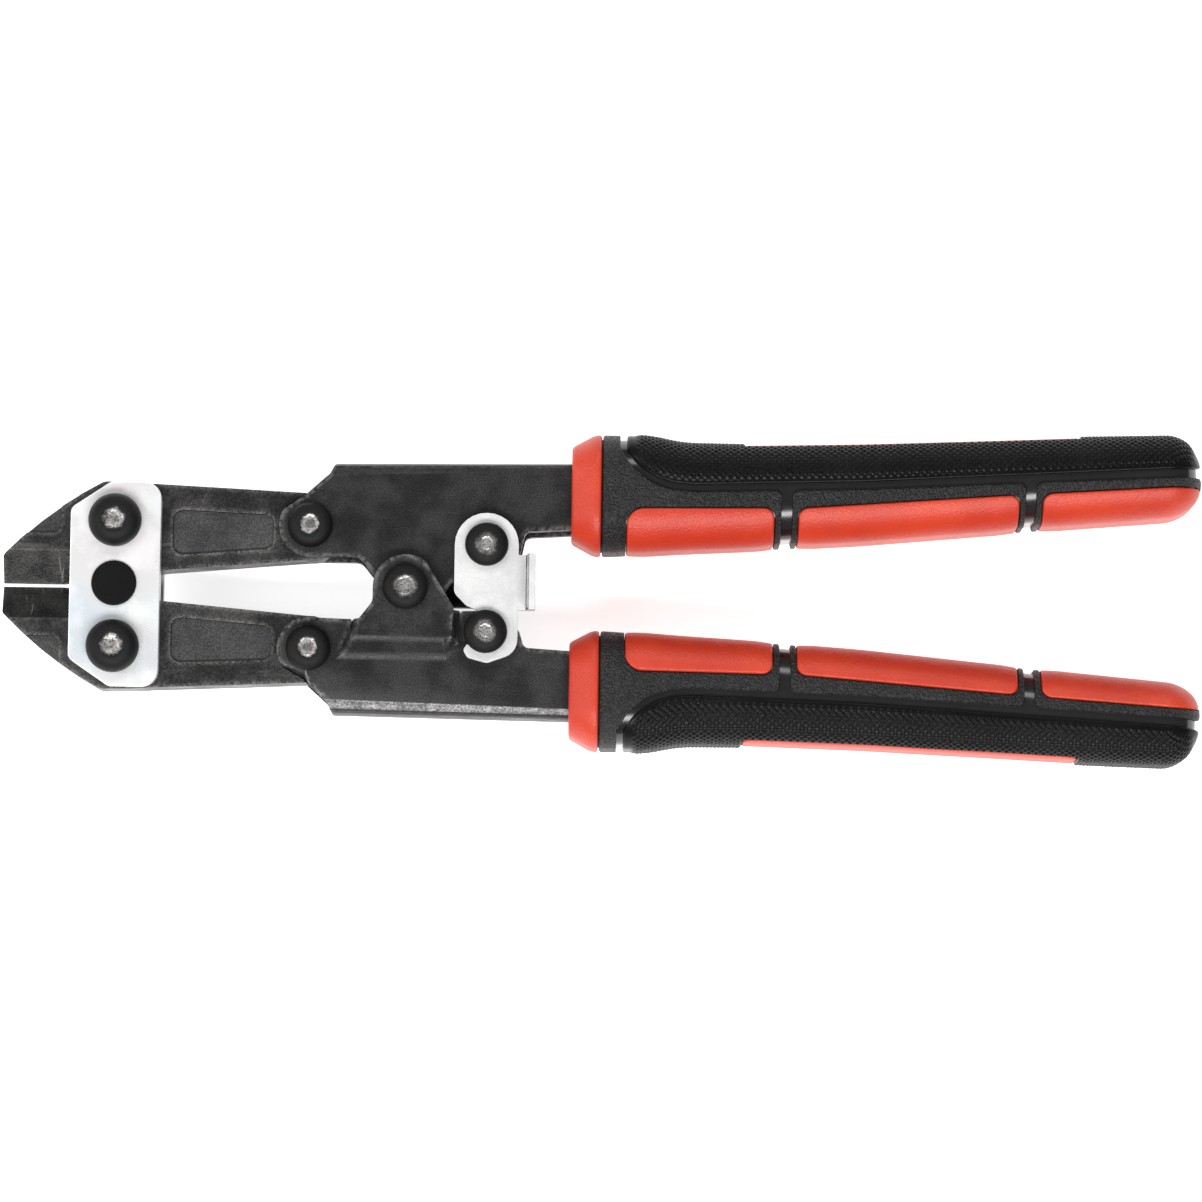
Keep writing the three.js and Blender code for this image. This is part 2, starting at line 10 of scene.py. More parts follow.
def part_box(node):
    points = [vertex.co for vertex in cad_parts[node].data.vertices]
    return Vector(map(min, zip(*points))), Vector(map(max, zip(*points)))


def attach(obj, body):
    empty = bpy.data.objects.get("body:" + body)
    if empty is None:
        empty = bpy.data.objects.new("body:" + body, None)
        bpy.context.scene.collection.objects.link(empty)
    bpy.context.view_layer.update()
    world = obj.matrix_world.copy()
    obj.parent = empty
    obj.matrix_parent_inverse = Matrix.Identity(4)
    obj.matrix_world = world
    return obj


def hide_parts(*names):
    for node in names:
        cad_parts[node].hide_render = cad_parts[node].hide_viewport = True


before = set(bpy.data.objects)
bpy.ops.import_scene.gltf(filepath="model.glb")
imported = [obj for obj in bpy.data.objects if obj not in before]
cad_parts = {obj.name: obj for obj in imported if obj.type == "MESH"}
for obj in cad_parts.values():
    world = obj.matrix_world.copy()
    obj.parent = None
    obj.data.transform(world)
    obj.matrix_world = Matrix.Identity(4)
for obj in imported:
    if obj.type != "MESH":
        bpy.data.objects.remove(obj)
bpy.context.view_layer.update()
print("frame loaded:", len(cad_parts), "nodes")

mm = 0.001


def middle(node):
    low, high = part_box(node)
    return (Vector(low) + Vector(high)) / 2


centre = middle("centre_pin")
origin = np.array([centre.x, centre.y, middle("jaw_upper").z])
handleBody = {"upper": "upper_handle", "lower": "lower_handle"}


# Materials.

def nodeGroup(name, inputs, outputs):
    group = bpy.data.node_groups.new(name, "ShaderNodeTree")
    for label, kind, value in inputs:
        socket = group.interface.new_socket(name=label, in_out="INPUT", socket_type=kind)
        if value is not None:
            socket.default_value = value
    for label, kind in outputs:
        group.interface.new_socket(name=label, in_out="OUTPUT", socket_type=kind)
    start = group.nodes.new("NodeGroupInput")
    end = group.nodes.new("NodeGroupOutput")
    return group, start, end


class Tree:  # short calls for adding and joining nodes
    def __init__(self, tree):
        self.tree = tree

    def add(self, kind, **settings):
        node = self.tree.nodes.new("ShaderNode" + kind)
        for key, value in settings.items():
            setattr(node, key, value)
        return node

    def link(self, source, target):
        self.tree.links.new(source, target)

    def feed(self, node, **values):
        for key, value in values.items():
            socket = node.inputs[int(key[2:]) if key.startswith("in") else key.replace("_", " ")]
            if isinstance(value, bpy.types.NodeSocket):
                self.link(value, socket)
            else:
                socket.default_value = value
        return node

    def math(self, operation, a, b=0.0, clamp=False):
        node = self.add("Math", operation=operation, use_clamp=clamp)
        self.feed(node, in0=a, in1=b)
        return node.outputs[0]

    def noise(self, vector, scale, detail=3.0, roughness=0.5):
        node = self.add("TexNoise")
        self.feed(node, Vector=vector, Scale=scale, Detail=detail, Roughness=roughness)
        return node.outputs["Fac"]

    def spread(self, value, low, high, toLow=0.0, toHigh=1.0):
        node = self.add("MapRange", interpolation_type="SMOOTHSTEP")
        self.feed(node, Value=value, From_Min=low, From_Max=high, To_Min=toLow, To_Max=toHigh)
        return node.outputs["Result"]

    def blend(self, factor, a, b):
        node = self.add("Mix", data_type="RGBA")
        self.feed(node, in0=factor, in6=a, in7=b)
        return node.outputs[2]


def makeEdgeWear():
    # bright where an edge turns sharply, broken up by noise
    group, start, end = nodeGroup("edgeWear", [
        ("Radius", "NodeSocketFloat", 0.0004), ("Breakup", "NodeSocketFloat", 400.0),
        ("Amount", "NodeSocketFloat", 1.0)], [("Mask", "NodeSocketFloat")])
    t = Tree(group)
    rounded = t.feed(t.add("Bevel", samples=6), Radius=start.outputs["Radius"])
    geometry = t.add("NewGeometry")
    dot = t.add("VectorMath", operation="DOT_PRODUCT")
    t.feed(dot, in0=rounded.outputs[0], in1=geometry.outputs["Normal"])
    turn = t.math("SUBTRACT", 1.0, dot.outputs["Value"])
    place = t.add("TexCoord").outputs["Object"]
    grain = t.noise(place, start.outputs["Breakup"], 4.0, 0.6)
    mask = t.math("MULTIPLY", t.spread(turn, 0.004, 0.09), t.spread(grain, 0.36, 0.62))
    t.link(t.math("MULTIPLY", mask, start.outputs["Amount"], clamp=True), end.inputs["Mask"])
    return group


def makeGrain():
    # fine even grain with a slower cloud under it
    group, start, end = nodeGroup("grain", [
        ("Fine", "NodeSocketFloat", 4000.0), ("Coarse", "NodeSocketFloat", 200.0)],
        [("Grain", "NodeSocketFloat"), ("Cloud", "NodeSocketFloat")])
    t = Tree(group)
    place = t.add("TexCoord").outputs["Object"]
    t.link(t.noise(place, start.outputs["Fine"], 2.0), end.inputs["Grain"])
    cloud = t.noise(place, start.outputs["Coarse"], 5.0, 0.6)
    t.link(t.spread(cloud, 0.35, 0.68), end.inputs["Cloud"])
    return group


def makeScratches():
    # short straight scuffs, stretched along X
    group, start, end = nodeGroup("scratches", [
        ("Scale", "NodeSocketFloat", 300.0), ("Stretch", "NodeSocketVector", (0.15, 1.0, 1.0))],
        [("Mask", "NodeSocketFloat")])
    t = Tree(group)
    place = t.add("Mapping")
    t.feed(place, Vector=t.add("TexCoord").outputs["Object"], Scale=start.outputs["Stretch"])
    lines = t.noise(place.outputs[0], start.outputs["Scale"], 6.0, 0.7)
    t.link(t.spread(lines, 0.58, 0.7), end.inputs["Mask"])
    return group


edgeWear, grain, scratches = makeEdgeWear(), makeGrain(), makeScratches()


def newMaterial(name):
    material = bpy.data.materials.new(name)
    material.use_nodes = True
    t = Tree(material.node_tree)
    surface = next(n for n in t.tree.nodes if n.type == "BSDF_PRINCIPLED")
    return material, t, surface


def useGroup(t, group, **values):
    node = t.add("Group", node_tree=group)
    t.feed(node, **values)
    return node


def bumpFrom(t, height, distance, strength=1.0):
    node = t.add("Bump")
    t.feed(node, Height=height, Distance=distance, Strength=strength)
    return node.outputs["Normal"]


def metalMaterial(name, look):
    material, t, surface = newMaterial(name)
    texture = useGroup(t, grain, Fine=look["fine"], Coarse=look["coarse"])
    wear = useGroup(t, edgeWear, Radius=look["wearRadius"], Amount=look["wear"],
                    Breakup=look.get("breakup", 400.0))
    scuffs = useGroup(t, scratches, Scale=look["scuffScale"],
                      Stretch=look.get("stretch", (0.15, 1.0, 1.0)))
    base = t.blend(texture.outputs["Cloud"], look["dark"], look["light"])
    speck = t.spread(texture.outputs["Grain"], 0.3, 0.72, 1 - look["speck"], 1 + look["speck"])
    shade = t.add("VectorMath", operation="SCALE")
    t.feed(shade, in0=base, Scale=speck)
    scuffMask = t.math("MULTIPLY", scuffs.outputs["Mask"], look["scuff"])
    worn = t.math("MAXIMUM", wear.outputs["Mask"], scuffMask, clamp=True)
    t.feed(surface, Base_Color=t.blend(worn, shade.outputs[0], look["bare"]))
    t.feed(surface, Metallic=look["metal"])
    rough = t.spread(texture.outputs["Cloud"], 0.0, 1.0, look["rough"][0], look["rough"][1])
    t.feed(surface, Roughness=rough)
    t.feed(surface, Normal=bumpFrom(t, texture.outputs["Grain"], look["bump"]))
    return material


frameLook = {
    "dark": (0.020, 0.019, 0.020, 1), "light": (0.036, 0.035, 0.036, 1),
    "bare": (0.28, 0.27, 0.265, 1),
    "fine": 3800.0, "coarse": 130.0, "speck": 0.4, "wearRadius": 0.0018,
    "wear": 0.55, "breakup": 1100.0,
    "scuffScale": 420.0, "scuff": 0.05, "metal": 0.75, "rough": (0.42, 0.56), "bump": 0.00003,
}
# painted highlight on the lower handle's outer bend, partly rubbed bare steel: a paler, speckled
# oxide
wornLitFoldLook = {
    **frameLook, "dark": (0.06, 0.059, 0.059, 1), "light": (0.2, 0.195, 0.195, 1),
    "bare": (0.5, 0.49, 0.48, 1),
    "coarse": 500.0, "speck": 0.6, "scuffScale": 1100.0, "scuff": 0.55,
    "stretch": (0.5, 1.0, 1.0), "wear": 0.2,
}
jawLook = {
    "dark": (0.036, 0.035, 0.035, 1), "light": (0.058, 0.056, 0.055, 1),
    "bare": (0.42, 0.41, 0.39, 1),
    "fine": 2900.0, "coarse": 160.0, "speck": 0.4, "wearRadius": 0.0014,
    "wear": 0.42, "breakup": 2600.0,
    "scuffScale": 380.0, "scuff": 0.14, "metal": 0.8, "rough": (0.36, 0.52), "bump": 0.00003,
}
panelLook = {
    **jawLook, "dark": (0.050, 0.048, 0.050, 1), "light": (0.072, 0.070, 0.072, 1), "wear": 0.05,
    "fine": 3400.0, "scuff": 0.03, "rough": (0.5, 0.62),
}
# painted shade: near-black oxide on the walls of the groove round the jaw's panel
shadedGrooveLook = {
    **jawLook, "dark": (0.004, 0.004, 0.004, 1), "light": (0.010, 0.010, 0.010, 1), "wear": 0.0,
    "scuff": 0.0, "rough": (0.55, 0.7),
}
groundLook = {
    **jawLook, "dark": (0.012, 0.012, 0.012, 1), "light": (0.03, 0.029, 0.028, 1), "wear": 0.12,
    "stretch": (1.0, 0.1, 0.1), "scuffScale": 1400.0, "scuff": 0.3, "rough": (0.28, 0.4),
}
latchLook = {
    "dark": (0.62, 0.62, 0.62, 1), "light": (0.68, 0.68, 0.675, 1), "bare": (0.9, 0.9, 0.9, 1),
    "fine": 3000.0, "coarse": 160.0, "speck": 0.05, "wearRadius": 0.0003, "wear": 0.3,
    "scuffScale": 500.0, "scuff": 0.1, "metal": 0.25, "rough": (0.34, 0.44), "bump": 0.00001,
}
springLook = {
    "dark": (0.16, 0.16, 0.165, 1), "light": (0.3, 0.3, 0.3, 1), "bare": (0.6, 0.6, 0.6, 1),
    "fine": 3000.0, "coarse": 300.0, "speck": 0.1, "wearRadius": 0.0002, "wear": 0.2,
    "scuffScale": 600.0, "scuff": 0.2, "metal": 0.95, "rough": (0.28, 0.4), "bump": 0.00001,
}


def zincMaterial():
    # pale plating with faint blue, straw and pink bands
    look = {"worn": (0.85, 0.85, 0.83, 1),
            "tints": [(0.76, 0.82, 0.87, 1), (0.86, 0.865, 0.865, 1), (0.88, 0.86, 0.86, 1)],
            "bandScale": 45.0, "grain": 3000.0, "rough": (0.24, 0.36)}
    material, t, surface = newMaterial("paleZinc")
    texture = useGroup(t, grain, Fine=look["grain"], Coarse=150.0)
    wear = useGroup(t, edgeWear, Radius=0.0002, Amount=0.1)
    bands = t.noise(t.add("TexCoord").outputs["Object"], look["bandScale"], 2.0, 0.4)
    ramp = t.add("ValToRGB")
    stops = ramp.color_ramp.elements
    stops[0].position, stops[0].color = 0.36, look["tints"][0]
    stops[1].position, stops[1].color = 0.62, look["tints"][2]
    stops.new(0.5).color = look["tints"][1]
    t.feed(ramp, Fac=bands)
    tint = t.blend(wear.outputs["Mask"], ramp.outputs["Color"], look["worn"])
    t.feed(surface, Base_Color=tint)
    t.feed(surface, Metallic=0.45)
    t.feed(surface, Roughness=t.spread(texture.outputs["Cloud"], 0.0, 1.0, *look["rough"]))
    t.feed(surface, Normal=bumpFrom(t, texture.outputs["Grain"], 0.00001))
    return material


def pinMaterial(name, look):
    # dark oxide with a bright patch round the dish, a disc on some pins and a ring on others:
    # partly rubbed bare metal, partly a painted highlight in place of the lamp's reflection on the
    # dome
    material, t, surface = newMaterial(name)
    texture = useGroup(t, grain, Fine=3200.0, Coarse=700.0)
    apart = t.add("SeparateXYZ")
    t.feed(apart, Vector=t.add("TexCoord").outputs["Generated"])
    across = [t.math("SUBTRACT", apart.outputs[k], 0.5) for k in (0, 1)]
    squares = [t.math("MULTIPLY", value, value) for value in across]
    radius = t.math("MULTIPLY", t.math("SQRT", t.math("ADD", *squares)), 2.0)
    wobble = t.math("MULTIPLY", t.math("SUBTRACT", texture.outputs["Cloud"], 0.5), look["wobble"])
    edge = t.math("ADD", radius, wobble)
    outside = t.spread(edge, look["ring"][2], look["ring"][3], 1.0, 0.0)
    inside = t.spread(edge, look["ring"][0], look["ring"][1], look.get("core", 0.0), 1.0)
    mottle = t.spread(texture.outputs["Grain"], 0.3, 0.6, look["mottle"], 1.0)
    # bright: where the pale colour goes, partly rubbed metal and partly painted highlight
    bright = t.math("MULTIPLY", t.math("MULTIPLY", outside, inside), mottle)
    dark = t.blend(texture.outputs["Grain"], (0.012, 0.012, 0.012, 1), (0.026, 0.026, 0.027, 1))
    t.feed(surface, Base_Color=t.blend(bright, dark, look["bare"]), Metallic=0.9)
    t.feed(surface, Roughness=t.spread(radius, 0.3, 0.6, 0.3, 0.62))
    t.feed(surface, Normal=bumpFrom(t, texture.outputs["Grain"], 0.00005))
    return material


def rubberMaterial(name, look):
    # moulded rubber: cellular skin grain, faint clouding and paler rubbed edges
    material, t, surface = newMaterial(name)
    texture = useGroup(t, grain, Fine=look["fine"], Coarse=look["coarse"])
    wear = useGroup(t, edgeWear, Radius=0.0005, Amount=look["wear"])
    place = t.add("TexCoord").outputs["Object"]
    cells = t.add("TexVoronoi", feature="SMOOTH_F1")
    t.feed(cells, Vector=place, Scale=look["cells"], Smoothness=0.4)
    cell = t.spread(cells.outputs["Distance"], 0.1, 0.75, 1.0, 0.0)
    relief = t.math("ADD", t.math("MULTIPLY", cell, look["cellShare"]),
                    t.math("MULTIPLY", texture.outputs["Grain"], 1 - look["cellShare"]))
    base = t.blend(texture.outputs["Cloud"], look["dark"], look["light"])
    t.feed(surface, Base_Color=t.blend(wear.outputs["Mask"], base, look["rubbed"]))
    t.feed(surface, Roughness=t.spread(relief, 0.1, 0.9, look["rough"][1], look["rough"][0]))
    t.feed(surface, Specular_IOR_Level=look["gloss"])
    t.feed(surface, Normal=bumpFrom(t, relief, look["bump"]))
    return material


redLook = {
    "dark": (0.46, 0.028, 0.008, 1), "light": (0.54, 0.040, 0.011, 1),
    "rubbed": (0.66, 0.12, 0.06, 1),
    "fine": 2600.0, "coarse": 60.0, "cells": 3000.0, "cellShare": 0.4, "wear": 0.3,
    "rough": (0.38, 0.5), "gloss": 0.45, "bump": 0.00008,
}
skinLook = {
    "dark": (0.009, 0.009, 0.0095, 1), "light": (0.013, 0.013, 0.0135, 1),
    "rubbed": (0.04, 0.04, 0.042, 1),
    "fine": 3600.0, "coarse": 80.0, "cells": 2500.0, "cellShare": 0.65, "wear": 0.2,
    "rough": (0.34, 0.6), "gloss": 0.35, "bump": 0.00028,
}
palmLook = {
    "dark": (0.003, 0.003, 0.0035, 1), "light": (0.005, 0.005, 0.0055, 1),
    "rubbed": (0.03, 0.03, 0.032, 1),
    "fine": 3000.0, "coarse": 80.0, "cells": 3500.0, "cellShare": 0.3, "wear": 0.2,
    "rough": (0.25, 0.34), "gloss": 0.11, "bump": 0.00003,
}
glossLook = {
    "dark": (0.008, 0.008, 0.009, 1), "light": (0.011, 0.011, 0.012, 1),
    "rubbed": (0.02, 0.02, 0.02, 1),
    "fine": 1500.0, "coarse": 90.0, "cells": 900.0, "cellShare": 0.2, "wear": 0.1,
    "rough": (0.16, 0.24), "gloss": 0.6, "bump": 0.000004,
}

materials = {
    "frame_steel": metalMaterial("greyOxide", frameLook),
    "rubbed_fold": metalMaterial("rubbedOxide", wornLitFoldLook),
    "panel": metalMaterial("panelOxide", panelLook),
    "ground": metalMaterial("groundOxide", groundLook),
    "groove_shade": metalMaterial("grooveShadeOxide", shadedGrooveLook),
    "black_oxide_steel": metalMaterial("blackOxide", jawLook),
    "latch_zinc": metalMaterial("whiteZinc", latchLook),
    "spring_steel": metalMaterial("springWire", springLook),
    "zinc_plate": zincMaterial(),
    # the pale bare colours of the pins are partly painted highlight
    "pin_steel": pinMaterial("rubbedLitPin", {
        "ring": (-0.2, -0.1, 0.22, 0.46), "wobble": 0.09, "mottle": 0.15,
        "bare": (0.66, 0.63, 0.61, 1)}),
    "pin_ring": pinMaterial("rubbedLitRingPin", {
        "ring": (0.14, 0.24, 0.3, 0.46), "core": 0.45, "wobble": 0.1, "mottle": 0.4,
        "bare": (0.74, 0.71, 0.69, 1)}),
    "pin_steel_solid": pinMaterial("rubbedLitSolidPin", {
        "ring": (-0.2, -0.1, 0.1, 0.58), "wobble": 0.1, "mottle": 0.3,
        "bare": (0.66, 0.64, 0.62, 1)}),
    "red_rubber": rubberMaterial("redRubber", redLook),
    "black_rubber": rubberMaterial("skinRubber", skinLook),
    "palm": rubberMaterial("palmRubber", palmLook),
    "black_gloss": rubberMaterial("glossCore", glossLook),
    "dot": rubberMaterial("dotPaint", {**palmLook, "rough": (0.5, 0.6), "gloss": 0.1}),
}
print("materials made:", len(materials))


# Helpers for pieces.

def finishPiece(obj, body, slot, nodes, material=None):
    obj.data.materials.clear()
    obj.data.materials.append(materials[material or slot])
    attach(obj, body)
    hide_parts(*nodes)


def meshObject(name, points, faces, smooth=True):
    mesh = bpy.data.meshes.new(name)
    mesh.from_pydata([tuple(p) for p in points], [], [tuple(int(i) for i in f) for f in faces])
    work = bmesh.new()
    work.from_mesh(mesh)
    bmesh.ops.recalc_face_normals(work, faces=work.faces)
    work.to_mesh(mesh)
    work.free()
    mesh.polygons.foreach_set("use_smooth", [smooth] * len(mesh.polygons))
    mesh.set_sharp_from_angle(angle=math.radians(55))
    obj = bpy.data.objects.new(name, mesh)
    bpy.context.scene.collection.objects.link(obj)
    return obj


def toRow(points):
    # mm from the centre pin to metres in the frame
    return np.asarray(points) * mm + origin


def fromRow(point):
    return (np.array(point) - origin) / mm


# Flat metal parts: the frame's own solids with rounded edges.

metalParts = {
    "jaw_upper": {"body": "jaw_upper", "slot": "black_oxide_steel", "edge": 0.25, "sharp": 20},
    "jaw_lower": {"body": "jaw_lower", "slot": "black_oxide_steel", "edge": 0.25, "sharp": 20},
    "side_plate_front": {"body": "head", "slot": "zinc_plate", "edge": 0.45},
    "side_plate_back": {"body": "head", "slot": "zinc_plate", "edge": 0.45},
    "handle_frame_upper": {"body": "upper_handle", "slot": "frame_steel", "edge": 0.22,
                           "fold": {"side": 1, "edge": 1.6}},
    "handle_frame_lower": {"body": "lower_handle", "slot": "frame_steel", "edge": 0.22,
                           "soft": {"zone": (-14, 12, -14, -2.8, 5.5), "edge": 0.9},
                           # rubbed: only past this y is the outer bend painted with the lighter
                           # oxide, a painted highlight that is partly rubbed steel
                           "fold": {"side": -1, "edge": 1.8}, "rubbed": 15},
    "latch": {"body": "latch", "slot": "latch_zinc", "edge": 0.22,
              "soft": {"zone": (20.6, 21.4, -4.2, 6.2, 8.5), "edge": 0.6}},
}


# how the edges are rounded: lengths in mm, angles in degrees
rounding = {
    "weld": 0.01, "flatAngle": 1.5, "sharpAngle": 38, "sharpSegments": 3,
    "softLength": 3.0, "softAngle": 15, "softSegments": 4, "foldSegments": 8, "flatWeight": 80,
}
# where the faces with a look of their own are; the jaw's groove walls and the latch tab's inner
# wall carry painted shade, the lower handle's outer bend a painted highlight
jawFaces = {"panelDepth": 2.8, "within": 0.1, "grooveTo": 3.34, "bladeTo": -57.0, "bladeArea": 5.0}
litBendFaces = {"tilt": (0.6, 0.998), "depth": 4.0, "outward": 0.05}
shadedTabFaces = {"x": 20.8, "z": 8.5, "facing": -0.15}


def softEdges(work, zone):
    # the longer folds of a pressed shape inside a box
    x0, x1, y0, y1, z0 = zone
    found = []
    for edge in work.edges:
        at = fromRow((edge.verts[0].co + edge.verts[1].co) / 2)
        inside = x0 < at[0] < x1 and y0 < at[1] < y1 and abs(at[2]) > z0
        long = edge.calc_length() > rounding["softLength"] * mm and len(edge.link_faces) == 2
        if inside and long and edge.calc_face_angle() > math.radians(rounding["softAngle"]):
            found.append(edge)
    return found


def foldEdges(work, side):
    # the outer bend of a pressed channel: where a cheek meets the wall on its outer side
    found = []
    for edge in work.edges:
        if len(edge.link_faces) != 2:
            continue
        normals = (face.normal for face in edge.link_faces)
        cheek, wall = sorted(normals, key=lambda n: -abs(n.z))
        if abs(cheek.z) > 0.95 and abs(wall.z) < 0.1 and wall.y * side > 0.75:
            if edge.calc_face_angle_signed() > 0:
                found.append(edge)
    return found


def sharpEdges(work, degrees):
    limit = math.radians(degrees)
    return [e for e in work.edges if len(e.link_faces) == 2 and e.calc_face_angle() > limit]


def roundEdges(work, edges, width, segments, clamp=False):
    bmesh.ops.bevel(work, geom=edges, offset=width * mm, segments=segments, profile=0.5,
                    affect="EDGES", clamp_overlap=clamp, loop_slide=True)


def jawFace(at, face):
    # panel, ground bevel, groove walls round the panel in painted shade, or plain
    depth, tilt = abs(at[2]), abs(face.normal.z)
    if tilt > 0.99 and abs(depth - jawFaces["panelDepth"]) < jawFaces["within"]:
        return 1
    large = face.area > jawFaces["bladeArea"] * mm * mm
    if 0.5 < tilt < 0.97 and at[0] < jawFaces["bladeTo"] and large:
        return 2
    groove_shade = jawFaces["panelDepth"] - jawFaces["within"] < depth < jawFaces["grooveTo"]
    # groove walls get the near-black oxide: painted shade
    return 3 if groove_shade and tilt < 0.99 else 0


def litBendFace(at, face, side, beyond):
    # the stretch of an outer bend painted lighter: partly rubbed bare steel, partly a painted
    # highlight on the side that faces the front lamp
    low, high = litBendFaces["tilt"]
    tilted = low < abs(face.normal.z) < high and abs(at[2]) > litBendFaces["depth"]
    outward = face.normal.y * side > litBendFaces["outward"]
    return 1 if tilted and outward and at[1] * side > beyond else 0


def shadedTabFace(at, face):
    # painted shade on the inner edge of the latch's thumb tab
    raised = at[0] > shadedTabFaces["x"] and at[2] > shadedTabFaces["z"]
    return 1 if raised and face.normal.x < shadedTabFaces["facing"] else 0


def paintFaces(obj, choose, *keys):
    # further materials, on the faces that choose gives a number above 0
    for key in keys:
        obj.data.materials.append(materials[key])
    for face in obj.data.polygons:
        face.material_index = choose(fromRow(face.center), face)


def roundedCopy(node, look):
    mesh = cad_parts[node].data.copy()
    work = bmesh.new()
    work.from_mesh(mesh)
    bmesh.ops.remove_doubles(work, verts=work.verts, dist=rounding["weld"] * mm)
    bmesh.ops.dissolve_limit(work, angle_limit=math.radians(rounding["flatAngle"]),
                             verts=work.verts, edges=work.edges)
    if "soft" in look:
        soft = softEdges(work, look["soft"]["zone"])
        roundEdges(work, soft, look["soft"]["edge"], rounding["softSegments"])
    if "fold" in look:
        fold = foldEdges(work, look["fold"]["side"])
        roundEdges(work, fold, look["fold"]["edge"], rounding["foldSegments"])
    sharp = sharpEdges(work, look.get("sharp", rounding["sharpAngle"]))
    roundEdges(work, sharp, look["edge"], rounding["sharpSegments"], clamp=True)
    bmesh.ops.recalc_face_normals(work, faces=work.faces)
    work.to_mesh(mesh)
    work.free()
    mesh.polygons.foreach_set("use_smooth", [True] * len(mesh.polygons))
    obj = bpy.data.objects.new(node + "_shape", mesh)
    bpy.context.scene.collection.objects.link(obj)
    normals = obj.modifiers.new("flatFaces", "WEIGHTED_NORMAL")
    normals.weight = rounding["flatWeight"]
    finishPiece(obj, look["body"], look["slot"], [node])
    # painted highlight, partly rubbed steel, on the outer bend's faces that face the front lamp
    if "rubbed" in look:
        side, beyond = look["fold"]["side"], look["rubbed"]
        paintFaces(obj, lambda at, face: litBendFace(at, face, side, beyond), "rubbed_fold")
    if node == "latch":
        # painted shade: the tab's inner wall takes the darker spring wire material
        paintFaces(obj, shadedTabFace, "spring_steel")
    if look["slot"] == "black_oxide_steel":
        paintFaces(obj, jawFace, "panel", "ground", "groove_shade")


for node, look in metalParts.items():
    roundedCopy(node, look)
print("metal parts made:", len(metalParts))


# Turned pieces: pins, spacer and the plain dots on the side plates.

def latheObject(name, at, profile, segments=72):
    # a closed turned solid; the profile runs from the axis at the bottom to the axis at the top
    turn = np.linspace(0, 2 * math.pi, segments, endpoint=False)
    rings = [(r, z) for r, z in profile if r > 0]
    points = [[r * math.cos(a), r * math.sin(a), z] for r, z in rings for a in turn]
    faces = []
    for k in range(len(rings) - 1):
        a, b = k * segments, (k + 1) * segments
        for j in range(segments):
            n = (j + 1) % segments
            faces.append([a + j, a + n, b + n, b + j])
    last = (len(rings) - 1) * segments
    if profile[0][0] > 0:
        for j in range(segments):
            n = (j + 1) % segments
            faces.append([last + j, last + n, n, j])
    else:
        points += [[0, 0, profile[0][1]], [0, 0, profile[-1][1]]]
        low, high = len(points) - 2, len(points) - 1
        for j in range(segments):
            n = (j + 1) % segments
            faces.append([low, n, j])
            faces.append([high, last + j, last + n])
    placed = np.array(points) * mm + np.array([at.x, at.y, origin[2]])
    return meshObject(name, placed, faces)


def headProfile(base, rise, radius, look):
    # from the rim at the sheet up over the dome and down into the dish
    skirt = rise * look["skirt"]
    dome = [(radius - look["lip"], base), (radius, base + look["lip"]), (radius, base + skirt)]
    crown = look["crown"] * radius
    for k in range(1, 9):
        a = math.pi / 2 * k / 8
        height = base + skirt + (rise - skirt) * math.sin(a)
        dome.append((crown + (radius - crown) * math.cos(a), height))
    dish = look["dish"] * radius
    for k in range(1, 6):
        t = k / 5
        height = base + rise - look["depth"] * (1 - math.cos(math.pi * t)) / 2
        dome.append((crown - (crown - dish) * t, height))
    dome.append((0, base + rise - look["depth"] * 0.92))
    return dome


pinLooks = {
    "jaw_pin_upper": {"body": "head", "shank": 2.6, "rise": 3.4, "skirt": 0.2, "crown": 0.5,
                      "dish": 0.15, "depth": 0.25, "lip": 0.2, "material": "pin_steel"},
    "link_pin_upper": {"body": "upper_handle", "shank": 2.3, "rise": 2.2, "skirt": 0.2,
                       "crown": 0.52, "dish": 0.3, "depth": 0.16, "lip": 0.15,
                       "material": "pin_ring"},
    "centre_pin": {"body": "lower_handle", "shank": 2.4, "rise": 1.9, "skirt": 0.2, "crown": 0.5,
                   "dish": 0.3, "depth": 0.16, "lip": 0.15, "material": "pin_steel_solid"},
    "latch_pin": {"body": "upper_handle", "shank": 1.9, "rise": 2.1, "skirt": 0.25, "crown": 0.36,
                  "dish": 0.2, "depth": 0.1, "lip": 0.15, "material": "pin_steel_solid"},
}
pinLooks["jaw_pin_lower"] = pinLooks["jaw_pin_upper"]
pinLooks["link_pin_lower"] = {**pinLooks["link_pin_upper"], "body": "lower_handle"}

for node, look in pinLooks.items():
    low, high = (Vector(v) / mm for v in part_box(node))
    radius = (high.x - low.x) / 2
    top, bottom = high.z - origin[2] / mm, low.z - origin[2] / mm
    front = headProfile(top - look["rise"], look["rise"], radius, look)
    back = headProfile(-bottom - look["rise"], look["rise"], radius, look)
    profile = [(r, -z) for r, z in reversed(back)] + [
        (look["shank"], bottom + look["rise"]), (look["shank"], top - look["rise"])] + front
    finishPiece(latheObject(node + "_shape", middle(node), profile),
                look["body"], "pin_steel", [node], look["material"])

